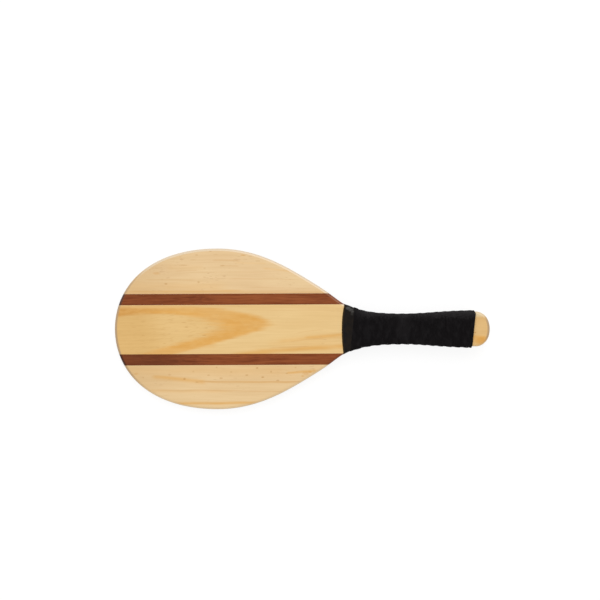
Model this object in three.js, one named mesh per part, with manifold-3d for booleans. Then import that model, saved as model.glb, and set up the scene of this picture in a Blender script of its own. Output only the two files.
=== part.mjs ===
// A wooden beach racket: a laminated pine blade with two mahogany stripes, whose centre stave runs on
// through the handle between two glued scales, a suede tape wound round the handle, and a vinyl
// collar over the tape's head end.
// Millimetres. X runs from the head's tip (-X) to the butt (+X), Y across the blade, and Z out of the
// blade's front face. The blade's middle plane is z = 0.
import * as THREE from "three";
import { mergeVertices } from "three/addons/utils/BufferGeometryUtils.js";
import Module from "manifold-3d";

const wasm = await Module();
wasm.setup();

// Driving dimensions of the outline, seen from the front. Places along the racket count from its tip.
const HEAD_LENGTH = 256.3; // from the tip to the neck
const HANDLE_LENGTH = 163.7; // from the neck to the end of the butt
const HEAD_WIDTH = 180.2;
const WAIST_WIDTH = 31.5; // the handle at its thinnest
const BUTT_WIDTH = 39;
const BUTT_LENGTH = 15; // the rounded end of the butt

// Where the outline's curves meet, and how far their handles reach.
const HEAD_WIDEST_SHARE = 0.449; // of the head's length
const FLANK_PLACE_SHARE = 0.891; // of the head's length
const FLANK_WIDTH_SHARE = 0.433; // of the way from the waist's width to the head's
const FLANK_SLOPE = 0.625; // how much a side draws in for each length along
const WAIST_PLACE_SHARE = 0.405; // of the handle's length
const REACH_shares = {
  tip: [0.52, 0.68],
  flank: [0.4, 0.31],
  neck: [0.32, 0.68],
  palm: [0.32, 0.45],
  butt: [0.35, 0.75],
};

// Boards of the blade.
const BLADE_THICKNESS = 10;
const STAVE_WIDTH = 55; // the centre stave
const STRIPE_WIDTH = 12.3;
const BOARD_TURN = 0.25; // degrees by which the boards' run is off the racket's own axis
const EDGE_ROUND = 3; // the round along every outer edge
const ROUND_LIMIT_SHARE = 0.4; // the round takes no more than this of the blade's thickness
const GLUE_LINE = 0.1;

// Scales of the handle.
const SCALE_THICKNESS = 5.5;
const RAMP_SETBACK = 2; // from the collar's edge to where the handle starts to thicken
const RAMP_LENGTH = 24;
const NOSE_CUT = 2.5; // the scales' thin ends are cut off this far up the ramp

// Wrappings.
const WRAP_CLEARANCE = 0.3; // between the wood and what is wound round it
const COLLAR_MARGIN = 2.05; // the wood passes the stave by this on each side at the collar's head edge
const COLLAR_WIDTH = 11.6;
const COLLAR_BOW = 1.9; // the collar's head edge bows this far towards the head
const COLLAR_THICKNESS = 0.6;
const BARE_BUTT = 17.5; // wood that shows past the tape
const TAPE_LAPS = 14; // how often the tape crosses the front of the handle
const TAPE_GAP = 0.5; // between one lap and the next
const TAPE_HEAD_EDGE = 0.8; // the tape's height at its edge towards the head
const TAPE_CREST = 1.5; // its height where it lies over the lap before
const TAPE_BUTT_EDGE = 1; // its height at its edge towards the butt
const CREST_SHARE = 0.84; // where the crest lies across the tape

const OVERRUN = 5; // how far a cutting block passes what it cuts
const CURVE_STEPS = { tip: 26, flank: 26, neck: 18, palm: 18, butt: 16 };
const ROUND_STEPS = 4; // steps in a quarter round
const LAP_STEPS = (ROUND_STEPS + 2) * 4; // steps in one lap of a wrapping
const COLLAR_SPANS = 3; // across the collar's width
const HALVINGS = 40; // of a search along the outline
const HALF = 0.5;
const QUARTER_TURN = Math.PI / 2;

const length = HEAD_LENGTH + HANDLE_LENGTH;
const bladeHalf = BLADE_THICKNESS * HALF;
const edgeRound = Math.min(EDGE_ROUND, BLADE_THICKNESS * ROUND_LIMIT_SHARE);
const handleHalf = bladeHalf + GLUE_LINE + SCALE_THICKNESS;

// One half of the outline as five curves in [along, half width], which meet at its tip, its widest
// place, its flank, its waist and the shoulder of its butt.
function outlineCurves() {
  const headHalf = HEAD_WIDTH * HALF;
  const waistHalf = WAIST_WIDTH * HALF;
  const buttHalf = BUTT_WIDTH * HALF;
  const widest = HEAD_LENGTH * HEAD_WIDEST_SHARE;
  const flank = HEAD_LENGTH * FLANK_PLACE_SHARE;
  const flankHalf = waistHalf + (headHalf - waistHalf) * FLANK_WIDTH_SHARE;
  const waist = HEAD_LENGTH + HANDLE_LENGTH * WAIST_PLACE_SHARE;
  const shoulder = length - BUTT_LENGTH;
  // Each knot is a point and the slope of the outline there.
  const along = (name, from, to, fromSlope, toSlope) => {
    const run = to[0] - from[0];
    const [leave, arrive] = REACH_shares[name];
    return new THREE.CubicBezierCurve(
      new THREE.Vector2(...from),
      new THREE.Vector2(from[0] + run * leave, from[1] + run * leave * fromSlope),
      new THREE.Vector2(to[0] - run * arrive, to[1] - run * arrive * toSlope),
      new THREE.Vector2(...to),
    );
  };
  const [tipUp, tipBack] = REACH_shares.tip;
  const [buttOut, buttDown] = REACH_shares.butt;
  return {
    tip: new THREE.CubicBezierCurve(
      new THREE.Vector2(0, 0),
      new THREE.Vector2(0, headHalf * tipUp),
      new THREE.Vector2(widest - widest * tipBack, headHalf),
      new THREE.Vector2(widest, headHalf),
    ),
    flank: along("flank", [widest, headHalf], [flank, flankHalf], 0, -FLANK_SLOPE),
    neck: along("neck", [flank, flankHalf], [waist, waistHalf], -FLANK_SLOPE, 0),
    palm: along("palm", [waist, waistHalf], [shoulder, buttHalf], 0, 0),
    butt: new THREE.CubicBezierCurve(
      new THREE.Vector2(shoulder, buttHalf),
      new THREE.Vector2(shoulder + BUTT_LENGTH * buttOut, buttHalf),
      new THREE.Vector2(length, buttHalf * buttDown),
      new THREE.Vector2(length, 0),
    ),
  };
}

const outline = outlineCurves();

// Where, between two values, a test that holds at the lower one stops holding.
function turningPoint(from, to, holds) {
  let low = from;
  let high = to;
  for (let i = 0; i < HALVINGS; i += 1) {
    const middle = (low + high) * HALF;
    if (holds(middle)) low = middle;
    else high = middle;
  }
  return low;
}

// The wood's half width at a place along the racket.
function halfWidth(place) {
  const curve = Object.values(outline).find((c) => place <= c.v3.x) ?? outline.butt;
  return curve.getPoint(turningPoint(0, 1, (share) => curve.getPoint(share).x < place)).y;
}

// The collar covers the place in the neck where the stripes run out, because the wood gets narrower
// than the stave there. The handle starts to thicken behind the collar's head edge.
const staveEdge = STAVE_WIDTH * HALF;
const collarEdge = turningPoint(
  outline.flank.v0.x,
  outline.neck.v3.x,
  (place) => halfWidth(place) > staveEdge + COLLAR_MARGIN,
);
const rampStart = collarEdge + RAMP_SETBACK;

// The wood's half thickness: the blade's, and over the ramp up to the handle's.
function halfThickness(place) {
  const climb = THREE.MathUtils.clamp((place - rampStart) / RAMP_LENGTH, 0, 1);
  return bladeHalf + (handleHalf - bladeHalf) * climb * (2 - climb);
}

// A body from a list of points and a list of triangles of their numbers.
function bodyOf(points, triangles) {
  const geometry = new THREE.BufferGeometry();
  geometry.setAttribute("position", new THREE.Float32BufferAttribute(points.flat(), 3));
  geometry.setIndex(triangles.flat());
  return geometry;
}

// A geometry as a solid that can be cut, and a solid as a geometry again.
function solidOf(geometry) {
  const bare = geometry.clone();
  bare.deleteAttribute("normal");
  bare.deleteAttribute("uv");
  const merged = mergeVertices(bare);
  return new wasm.Manifold(
    new wasm.Mesh({
      numProp: 3,
      vertProperties: new Float32Array(merged.attributes.position.array),
      triVerts: new Uint32Array(merged.index.array),
    }),
  );
}

function geometryOf(solid) {
  const mesh = solid.getMesh();
  const geometry = new THREE.BufferGeometry();
  geometry.setAttribute("position", new THREE.BufferAttribute(mesh.vertProperties, 3));
  geometry.setIndex(new THREE.BufferAttribute(mesh.triVerts, 1));
  geometry.computeVertexNormals();
  return geometry;
}

// A block between two corners, for cutting.
function block(low, high) {
  const size = high.map((value, i) => value - low[i]);
  const middle = high.map((value, i) => (value + low[i]) * HALF);
  return new THREE.BoxGeometry(...size).translate(...middle);
}

// The whole wooden body in one piece. Each column of points goes round the edge from the front face to
// the back face, square to the outline, and the faces are strips between the two sides.
function woodenBody() {
  const columns = [];
  for (const [name, curve] of Object.entries(outline)) {
    for (let i = name === "tip" ? 0 : 1; i <= CURVE_STEPS[name]; i += 1) {
      const share = i / CURVE_STEPS[name];
      const point = curve.getPoint(share);
      const tangent = curve.getTangent(share);
      columns.push({ point, inward: new THREE.Vector2(tangent.y, -tangent.x) });
    }
  }
  const rows = 2 * (ROUND_STEPS + 1);
  const points = [];
  for (const side of [1, -1]) {
    for (const { point, inward } of columns) {
      const thick = halfThickness(point.x + inward.x * edgeRound);
      for (let row = 0; row < rows; row += 1) {
        const front = row <= ROUND_STEPS;
        const step = front ? ROUND_STEPS - row : row - ROUND_STEPS - 1;
        const turn = (step / ROUND_STEPS) * QUARTER_TURN;
        const inset = edgeRound * (1 - Math.cos(turn));
        const height = thick - edgeRound * (1 - Math.sin(turn));
        const y = Math.max(point.y + inward.y * inset, 0);
        points.push([point.x + inward.x * inset, side * y, front ? height : -height]);
      }
    }
  }
  const at = (side, column, row) => (side * columns.length + column) * rows + row;
  const triangles = [];
  const quad = (a, b, c, d) => triangles.push([a, b, c], [a, c, d]);
  for (let c = 0; c + 1 < columns.length; c += 1) {
    for (let r = 0; r + 1 < rows; r += 1) {
      quad(at(0, c, r), at(0, c + 1, r), at(0, c + 1, r + 1), at(0, c, r + 1));
      quad(at(1, c, r), at(1, c, r + 1), at(1, c + 1, r + 1), at(1, c + 1, r));
    }
    quad(at(0, c, 0), at(1, c, 0), at(1, c + 1, 0), at(0, c + 1, 0));
    const last = rows - 1;
    quad(at(0, c, last), at(0, c + 1, last), at(1, c + 1, last), at(1, c, last));
  }
  return bodyOf(points, triangles);
}

// The wood's section at a place, grown by a distance: a rounded oblong as points { y, z, share }, from the
// middle of the front face round the +Y edge. A point's share is how much of the way round it lies.
function ring(place, growth) {
  const wide = halfWidth(place) + growth;
  const thick = halfThickness(place) + growth;
  const round = edgeRound + growth;
  const flat = wide - round;
  const side = thick - round;
  const arc = round * QUARTER_TURN;
  const around = (flat + arc + side) * 4;
  const corner = Array.from({ length: ROUND_STEPS + 1 }, (_, step) => {
    const done = step / ROUND_STEPS;
    return {
      y: flat + round * Math.sin(done * QUARTER_TURN),
      z: side + round * Math.cos(done * QUARTER_TURN),
      share: (flat + arc * done) / around,
    };
  });
  const halfWay = [
    { y: 0, z: thick, share: 0 },
    ...corner,
    { y: wide, z: 0, share: HALF * HALF },
    ...corner.toReversed().map(({ y, z, share }) => ({ y, z: -z, share: HALF - share })),
  ];
  const wayBack = halfWay.map(({ y, z, share }) => ({ y: -y, z: -z, share: share + HALF }));
  return { points: [...halfWay, ...wayBack], around };
}

// A skin over rings of points that all go the same way round; it closes on itself, or has two flat ends.
function skin(rings, closed) {
  const count = rings[0].length;
  const points = rings.flat();
  const triangles = [];
  const spans = closed ? rings.length : rings.length - 1;
  for (let i = 0; i < spans; i += 1) {
    const here = i * count;
    const next = ((i + 1) % rings.length) * count;
    for (let j = 0; j < count; j += 1) {
      const beside = (j + 1) % count;
      triangles.push([here + j, next + j, next + beside], [here + j, next + beside, here + beside]);
    }
  }
  if (!closed) {
    const last = (rings.length - 1) * count;
    for (let j = 1; j + 1 < count; j += 1) {
      triangles.push([0, j, j + 1], [last, last + j + 1, last + j]);
    }
  }
  return bodyOf(points, triangles);
}

// A point on the wrapping at a step round the handle, so far out from the wood.
function wrapped(place, step, height) {
  const { y, z } = ring(place, WRAP_CLEARANCE + height).points[step];
  return [place, y, z];
}

const tapeStart = collarEdge + COLLAR_WIDTH + TAPE_GAP;
const tapeEnd = length - BARE_BUTT;
const tapePitch = (tapeEnd - tapeStart + TAPE_GAP) / TAPE_LAPS;

// How far the winding leans along the racket for each length across its front.
const lean = (place) => tapePitch / ring(place, WRAP_CLEARANCE).around;

// The vinyl collar: one closed band, bowed towards the head, whose other edge leans with the tape.
function collar() {
  const middle = collarEdge + COLLAR_WIDTH * HALF;
  const beds = ring(middle, WRAP_CLEARANCE).points;
  const wide = halfWidth(middle);
  const rings = beds.map(({ y }, step) => {
    const headEdge = collarEdge + COLLAR_BOW * (y / wide) ** 2;
    const tapeEdge = collarEdge + COLLAR_WIDTH + lean(tapeStart) * y;
    const places = Array.from({ length: COLLAR_SPANS + 1 }, (_, i) =>
      THREE.MathUtils.lerp(headEdge, tapeEdge, i / COLLAR_SPANS),
    );
    return [
      ...places.map((place) => wrapped(place, step, 0)),
      ...places.toReversed().map((place) => wrapped(place, step, COLLAR_THICKNESS)),
    ];
  });
  return skin(rings, true);
}

// Where the tape's edge towards the head lies, at a step that counts from the middle of the front.
function tapeSeam(step) {
  const lap = Math.floor(step / LAP_STEPS);
  const bed = ring(tapeStart + tapePitch * (step / LAP_STEPS), WRAP_CLEARANCE).points;
  return tapeStart + tapePitch * (lap + bed[step - lap * LAP_STEPS].share);
}

// The grip tape: one unbroken winding. Both its ends taper off across the back of the handle, along the
// line on which the front's first or last lap ends, lie straight on the flat there and are cut square.
function tapeRings() {
  const tuck = LAP_STEPS * HALF + 1;
  const rings = [];
  for (let step = -tuck; step <= (TAPE_LAPS - 1) * LAP_STEPS + tuck; step += 1) {
    const turn = (step + LAP_STEPS) % LAP_STEPS;
    const seam = tapeSeam(step);
    const nextSeam = tapeSeam(step + LAP_STEPS);
    const { y } = ring((seam + nextSeam) * HALF, WRAP_CLEARANCE).points[turn];
    const headEdge = Math.max(seam, tapeStart + lean(tapeStart) * y);
    const buttEdge = Math.min(nextSeam - TAPE_GAP, tapeEnd + lean(tapeEnd) * y);
    const width = buttEdge - headEdge;
    rings.push([
      wrapped(headEdge, turn, 0),
      wrapped(headEdge + width * HALF, turn, 0),
      wrapped(buttEdge, turn, 0),
      wrapped(buttEdge, turn, TAPE_BUTT_EDGE),
      wrapped(headEdge + width * CREST_SHARE, turn, TAPE_CREST),
      wrapped(headEdge, turn, TAPE_HEAD_EDGE),
    ]);
  }
  return rings;
}

// The least distance between points of the winding that are more than half a lap apart.
function leastGap(rings) {
  let least = Infinity;
  for (let a = 0; a < rings.length; a += 1) {
    for (let b = a + LAP_STEPS * HALF; b < rings.length; b += 1) {
      for (const [x, y, z] of rings[a]) {
        for (const [u, v, w] of rings[b]) least = Math.min(least, Math.hypot(x - u, y - v, z - w));
      }
    }
  }
  return least;
}

const wood = solidOf(woodenBody());
const beyond = [length + OVERRUN, HEAD_WIDTH * HALF + OVERRUN, handleHalf + OVERRUN];
const blade = wood.intersect(
  solidOf(block([-OVERRUN, -beyond[1], -bladeHalf], [beyond[0], beyond[1], bladeHalf])),
);

// A board of the blade between two lines along it. The lines are turned a little about the place where
// the collar's head edge crosses the racket's axis.
function board(fromY, toY) {
  const run = block([-OVERRUN, fromY, -beyond[2]], [beyond[0], toY, beyond[2]])
    .translate(-collarEdge, 0, 0)
    .rotateZ(THREE.MathUtils.degToRad(BOARD_TURN))
    .translate(collarEdge, 0, 0);
  return geometryOf(blade.intersect(solidOf(run)));
}

// A scale on the front (1) or the back (-1) of the handle.
function scale(side) {
  const near = side * (bladeHalf + GLUE_LINE);
  const far = side * beyond[2];
  const nose = rampStart + NOSE_CUT;
  const low = [nose, -beyond[1], Math.min(near, far)];
  const high = [beyond[0], beyond[1], Math.max(near, far)];
  return geometryOf(wood.intersect(solidOf(block(low, high))));
}

const pine = { color: 0xe9c994, roughness: 0.55, metalness: 0 };
const mahogany = { color: 0x8c4226, roughness: 0.5, metalness: 0 };
const suede = { color: 0x17161a, roughness: 0.95, metalness: 0 };
const vinyl = { color: 0x202023, roughness: 0.45, metalness: 0 };

const racket = new THREE.Group();
racket.position.x = -length * HALF;

function add(name, geometry, look) {
  const mesh = new THREE.Mesh(geometry, new THREE.MeshStandardMaterial(look));
  mesh.name = name;
  racket.add(mesh);
}

const stripeFrom = staveEdge + GLUE_LINE;
const stripeTo = stripeFrom + STRIPE_WIDTH;
const wingFrom = stripeTo + GLUE_LINE;
const tape = tapeRings();

add("centre_stave", board(-staveEdge, staveEdge), pine);
add("upper_stripe", board(stripeFrom, stripeTo), mahogany);
add("lower_stripe", board(-stripeTo, -stripeFrom), mahogany);
add("upper_wing", board(wingFrom, beyond[1]), pine);
add("lower_wing", board(-beyond[1], -wingFrom), pine);
add("front_scale", scale(1), pine);
add("back_scale", scale(-1), pine);
add("grip_tape", skin(tape, false), suede);
add("collar_tape", collar(), vinyl);

console.log(`grip tape: least gap to itself ${leastGap(tape).toFixed(2)} mm`);

export default racket;
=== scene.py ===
import bisect
import math

import bmesh
import bpy
from mathutils import Matrix, Vector, noise


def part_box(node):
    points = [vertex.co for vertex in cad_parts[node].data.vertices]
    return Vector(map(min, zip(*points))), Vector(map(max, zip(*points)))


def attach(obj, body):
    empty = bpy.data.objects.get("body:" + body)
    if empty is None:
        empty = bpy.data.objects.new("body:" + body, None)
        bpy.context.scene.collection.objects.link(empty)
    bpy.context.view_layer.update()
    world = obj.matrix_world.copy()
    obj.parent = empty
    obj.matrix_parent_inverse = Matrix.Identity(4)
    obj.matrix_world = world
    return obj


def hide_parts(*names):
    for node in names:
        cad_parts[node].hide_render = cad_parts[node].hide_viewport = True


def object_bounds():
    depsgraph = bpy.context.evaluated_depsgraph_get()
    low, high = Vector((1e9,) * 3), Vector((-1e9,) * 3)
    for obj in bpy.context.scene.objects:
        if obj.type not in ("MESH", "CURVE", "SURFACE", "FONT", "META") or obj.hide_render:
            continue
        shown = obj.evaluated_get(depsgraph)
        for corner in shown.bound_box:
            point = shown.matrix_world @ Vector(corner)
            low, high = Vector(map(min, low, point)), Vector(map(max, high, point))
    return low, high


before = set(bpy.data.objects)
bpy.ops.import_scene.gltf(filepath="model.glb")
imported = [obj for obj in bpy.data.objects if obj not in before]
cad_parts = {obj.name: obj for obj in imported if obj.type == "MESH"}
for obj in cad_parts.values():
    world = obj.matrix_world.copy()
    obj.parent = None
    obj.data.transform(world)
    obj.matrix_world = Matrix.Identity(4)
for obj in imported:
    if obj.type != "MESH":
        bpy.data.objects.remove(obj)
cad_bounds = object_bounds()

MM = 0.001

# The outline of the wood from the front, as in the frame. Its curves meet at the tip, the widest place,
# the flank, the waist and the butt's shoulder.
HEAD_LENGTH = 256.3 * MM
HANDLE_LENGTH = 163.7 * MM
WAIST_WIDTH = 31.5 * MM
BUTT_WIDTH = 39 * MM
BUTT_LENGTH = 15 * MM
HEAD_WIDEST_SHARE = 0.449
FLANK_PLACE_SHARE = 0.891
FLANK_WIDTH_SHARE = 0.433
FLANK_SLOPE = 0.625
WAIST_PLACE_SHARE = 0.405
REACH_SHARES = {
    "tip": (0.52, 0.68),
    "flank": (0.4, 0.31),
    "neck": (0.32, 0.68),
    "palm": (0.32, 0.45),
    "butt": (0.35, 0.75),
}
CURVE_STEPS = {"tip": 44, "flank": 44, "neck": 36, "palm": 30, "butt": 30}

# The boards, whose run is a little off the racket's axis and crosses it at the collar's head edge.
STAVE_WIDTH = 55 * MM
STRIPE_WIDTH = 12.3 * MM
GLUE_LINE = 0.1 * MM
BOARD_TURN = math.radians(0.25)

# The wood's edge, its glue lines and the ramp up to the handle.
EDGE_ROUND = 3 * MM
EDGE_SEGMENTS = 7
JOINT_GAP = 0.03 * MM
JOINT_BEVEL = 0.06 * MM
JOINT_SEGMENTS = 2
SHARP_ANGLE = math.radians(40)
RAMP_SETBACK = 2 * MM
RAMP_LENGTH = 24 * MM
RAMP_STEPS = 16
HIDDEN_ROUND = 5 * MM  # how far the blade's round runs on under the collar
TINY = 1e-6

# The wrappings.
WRAP_CLEARANCE = 0.3 * MM
COLLAR_WIDTH = 11.6 * MM
COLLAR_BOW = {"upper": 2.7 * MM, "lower": 1.75 * MM}  # how far its head edge draws back at the sides
COLLAR_SLIP = 0.15 * MM
COLLAR_LAYER = 0.14 * MM
COLLAR_HUG = 0.24 * MM  # how much closer than the clearance its head edge lies to the wood
COLLAR_CLIMB = {"upper": 1.0 * MM, "lower": 0.32 * MM}  # how far it rises towards the grip tape
COLLAR_TURNS = 2.12
COLLAR_START_SHARE = 0.36
COLLAR_SEAM = 0.04 * MM  # its gap to the line on which the grip tape starts
COLLAR_FILL_SHARE = 0.94  # how much of its layer the band fills
COLLAR_WAVER = 0.12 * MM  # how far its head edge wavers, and how high its creases are
COLLAR_WAVERS = 5  # in a turn
COLLAR_CREASES = (14, 2)  # in a turn, and across the band
COLLAR_SEEDS = {"waver": 4.4, "crease": 8.8}
COLLAR_SMOOTH_SHARE = 0.3  # over how much of its width the creases rise from the head edge
COLLAR_EARLY_SHARE = 0.45  # how much sooner it has climbed on the upper side
COLLAR_UNDER_STEPS = 8
COLLAR_OVER_STEPS = 12
COLLAR_EDGE_SHARE = 0.008  # how far its edges swell
TAPE_GAP = 0.5 * MM
BARE_BUTT = 17.5 * MM

# Where the photograph's camera stands, and what its width spans at the racket.
CAMERA_PLACE = Vector((-2.4, 32.4, 3000)) * MM
PHOTO_WIDTH = 672.4 * MM
CAMERA_REACH = 50

# The frame's own sizes.
tip = cad_bounds[0].x
butt = cad_bounds[1].x
head_half = cad_bounds[1].y
scale_low, scale_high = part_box("front_scale")
collar_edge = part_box("collar_tape")[0].x
blade_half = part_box("centre_stave")[1].z
handle_half = scale_high.z
ramp_start = collar_edge + RAMP_SETBACK
collar_middle = collar_edge + COLLAR_WIDTH / 2
tape_start = collar_edge + COLLAR_WIDTH + TAPE_GAP
tape_end = butt - BARE_BUTT
stave_edge = STAVE_WIDTH / 2
stripe_from = stave_edge + GLUE_LINE
stripe_to = stripe_from + STRIPE_WIDTH
wing_from = stripe_to + GLUE_LINE


def bezier(points, share):
    """A point on a cubic curve with four control points."""
    rest = 1 - share
    weights = (rest**3, 3 * rest * rest * share, 3 * rest * share * share, share**3)
    return sum((Vector(p) * w for p, w in zip(points, weights)), Vector((0, 0)))


def half_outline():
    """Points (x, half width) of one side of the wood, from the head's tip to the end of the butt."""
    waist_half = WAIST_WIDTH / 2
    butt_half = BUTT_WIDTH / 2
    widest = tip + HEAD_LENGTH * HEAD_WIDEST_SHARE
    flank = tip + HEAD_LENGTH * FLANK_PLACE_SHARE
    flank_half = waist_half + (head_half - waist_half) * FLANK_WIDTH_SHARE
    waist = tip + HEAD_LENGTH + HANDLE_LENGTH * WAIST_PLACE_SHARE
    shoulder = butt - BUTT_LENGTH

    def along(name, start, end, start_slope, end_slope):
        run = end[0] - start[0]
        leave, arrive = REACH_SHARES[name]
        return (
            start,
            (start[0] + run * leave, start[1] + run * leave * start_slope),
            (end[0] - run * arrive, end[1] - run * arrive * end_slope),
            end,
        )

    tip_up, tip_back = REACH_SHARES["tip"]
    butt_out, butt_down = REACH_SHARES["butt"]
    curves = {
        "tip": (
            (tip, 0),
            (tip, head_half * tip_up),
            (widest - (widest - tip) * tip_back, head_half),
            (widest, head_half),
        ),
        "flank": along("flank", (widest, head_half), (flank, flank_half), 0, -FLANK_SLOPE),
        "neck": along("neck", (flank, flank_half), (waist, waist_half), -FLANK_SLOPE, 0),
        "palm": along("palm", (waist, waist_half), (shoulder, butt_half), 0, 0),
        "butt": (
            (shoulder, butt_half),
            (shoulder + BUTT_LENGTH * butt_out, butt_half),
            (butt, butt_half * butt_down),
            (butt, 0),
        ),
    }
    points = [Vector((tip, 0))]
    for name, curve in curves.items():
        steps = CURVE_STEPS[name]
        points += [bezier(curve, step / steps) for step in range(1, steps + 1)]
    return points


side_points = half_outline()
side_places = [p.x for p in side_points]


def half_width(place):
    """The wood's half width at a place along the racket."""
    after = min(max(bisect.bisect(side_places, place), 1), len(side_points) - 1)
    a, b = side_points[after - 1], side_points[after]
    share = (place - a.x) / max(b.x - a.x, TINY)
    return a.y + (b.y - a.y) * min(max(share, 0), 1)


def half_thickness(place):
    """The wood's half thickness: the blade's, and over the ramp up to the handle's."""
    climb = min(max((place - ramp_start) / RAMP_LENGTH, 0), 1)
    return blade_half + (handle_half - blade_half) * climb * (2 - climb)


def smooth(low, high, value):
    """0 below low, 1 above high, and an even rise between them."""
    share = min(max((value - low) / (high - low), 0), 1)
    return share * share * (3 - 2 * share)


def finish(mesh, name, node, material):
    """Makes a bmesh the piece that stands for a node of the frame."""
    data = bpy.data.meshes.new(name)
    mesh.to_mesh(data)
    mesh.free()
    data.materials.append(material)
    piece = bpy.data.objects.new(name, data)
    bpy.context.scene.collection.objects.link(piece)
    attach(piece, "root")
    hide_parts(node)
    return piece


def slab(low, high):
    """A slab of the whole outline between two heights."""
    mesh = bmesh.new()
    back = [Vector((p.x, -p.y)) for p in side_points[1:-1]]
    verts = [mesh.verts.new((p.x, p.y, low)) for p in side_points + back[::-1]]
    made = bmesh.ops.extrude_face_region(mesh, geom=[mesh.faces.new(verts)])
    raised = [g for g in made["geom"] if isinstance(g, bmesh.types.BMVert)]
    bmesh.ops.translate(mesh, verts=raised, vec=(0, 0, high - low))
    bmesh.ops.recalc_face_normals(mesh, faces=mesh.faces)
    return mesh


def round_rims(mesh, wanted):
    """Rounds the level edges that a test on their two ends picks."""
    rims = [
        e for e in mesh.edges
        if abs(e.verts[0].co.z - e.verts[1].co.z) < TINY and wanted(e.verts[0].co, e.verts[1].co)
    ]
    bmesh.ops.bevel(
        mesh, geom=rims, offset=EDGE_ROUND, offset_type="OFFSET", segments=EDGE_SEGMENTS,
        profile=0.5, affect="EDGES", material=-1, clamp_overlap=False,
    )


def cut(mesh, point, normal):
    """Cuts off what lies where the normal points, and closes the cut."""
    made = bmesh.ops.bisect_plane(
        mesh, geom=mesh.verts[:] + mesh.edges[:] + mesh.faces[:], dist=TINY,
        plane_co=point, plane_no=normal, clear_outer=True,
    )
    edges = [g for g in made["geom_cut"] if isinstance(g, bmesh.types.BMEdge)]
    return bmesh.ops.holes_fill(mesh, edges=edges, sides=0)["faces"]


def soften(mesh, sharp_angle=SHARP_ANGLE):
    """Smooth shading with sharp joints."""
    for face in mesh.faces:
        face.smooth = True
    for edge in mesh.edges:
        edge.smooth = len(edge.link_faces) == 2 and edge.calc_face_angle(0) < sharp_angle


def keep_flats_flat(piece):
    """Lets the wide flat faces set the shading of their edges, so that the round starts cleanly."""
    piece.modifiers.new("flat faces", "WEIGHTED_NORMAL").keep_sharp = True


def board(name, node, from_y, to_y, material):
    """A board of the blade between two glue lines, or between a glue line and the rim."""
    mesh = slab(-blade_half, blade_half)
    round_rims(mesh, lambda a, b: max(a.x, b.x) < collar_edge + HIDDEN_ROUND)
    across = Vector((-math.sin(BOARD_TURN), math.cos(BOARD_TURN), 0))
    for line, way in ((to_y, 1), (from_y, -1)):
        if line is not None:
            cut(mesh, Vector((collar_edge, 0, 0)) + across * (line + way * JOINT_GAP), across * way)
    edges = {e for face in mesh.faces if abs(face.normal.dot(across)) > 1 - TINY
             and face.calc_area() > EDGE_ROUND**2 for e in face.edges}
    bmesh.ops.bevel(
        mesh, geom=list(edges), offset=JOINT_BEVEL, segments=JOINT_SEGMENTS, profile=0.5,
        affect="EDGES", material=-1, clamp_overlap=True,
    )
    soften(mesh)
    piece = finish(mesh, name, node, material)
    keep_flats_flat(piece)
    return piece


def handle_scale(name, node, side, material):
    """A scale on the front (1) or the back (-1) of the handle, with its ramp under the tape."""
    mesh = slab(0, handle_half)
    start = scale_low.x
    cut(mesh, (start - RAMP_SETBACK, 0, 0), (-1, 0, 0))
    top = handle_half - TINY
    round_rims(mesh, lambda a, b: min(a.z, b.z) > top and max(a.x, b.x) > start)
    for step in range(RAMP_STEPS + 1):
        place = ramp_start + RAMP_LENGTH * step / RAMP_STEPS
        bmesh.ops.bisect_plane(
            mesh, geom=mesh.verts[:] + mesh.edges[:] + mesh.faces[:], dist=TINY,
            plane_co=(place, 0, 0), plane_no=(1, 0, 0),
        )
    for vert in mesh.verts:
        if vert.co.z > handle_half - EDGE_ROUND - TINY:
            vert.co.z -= handle_half - half_thickness(vert.co.x)
    cut(mesh, (start, 0, 0), (-1, 0, 0))
    cut(mesh, (0, 0, scale_low.z), (0, 0, -1))
    bmesh.ops.scale(mesh, vec=(1, 1, side), verts=mesh.verts)
    bmesh.ops.remove_doubles(mesh, verts=mesh.verts, dist=TINY)
    bmesh.ops.recalc_face_normals(mesh, faces=mesh.faces)
    soften(mesh)
    piece = finish(mesh, name, node, material)
    keep_flats_flat(piece)
    return piece


def on_handle(place, share, height):
    """A point so far out from the wood, at a share of the way round it from the middle of the front."""
    wide = half_width(place)
    thick = half_thickness(place)
    flat = wide - EDGE_ROUND
    side = thick - EDGE_ROUND
    bend = EDGE_ROUND * math.pi / 2
    quarter = (share % 1) * 4
    turned = int(quarter) % 2
    way = ((1 - quarter % 1) if turned else quarter % 1) * (flat + bend + side)
    if way < flat:
        y, z, out = way, thick, Vector((0, 0, 1))
    elif way < flat + bend:
        angle = (way - flat) / EDGE_ROUND
        out = Vector((0, math.sin(angle), math.cos(angle)))
        y, z = flat + EDGE_ROUND * out.y, side + EDGE_ROUND * out.z
    else:
        y, z, out = wide, side - (way - flat - bend), Vector((0, 1, 0))
    y_sign = 1 if quarter < 2 else -1
    z_sign = 1 if quarter < 1 or quarter >= 3 else -1
    high = WRAP_CLEARANCE + height
    return Vector((place, y_sign * (y + out.y * high), z_sign * (z + out.z * high)))


def around(place):
    """How long the way round the wood is at a place."""
    return 4 * (half_width(place) + half_thickness(place) - EDGE_ROUND * (2 - math.pi / 2))


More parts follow.
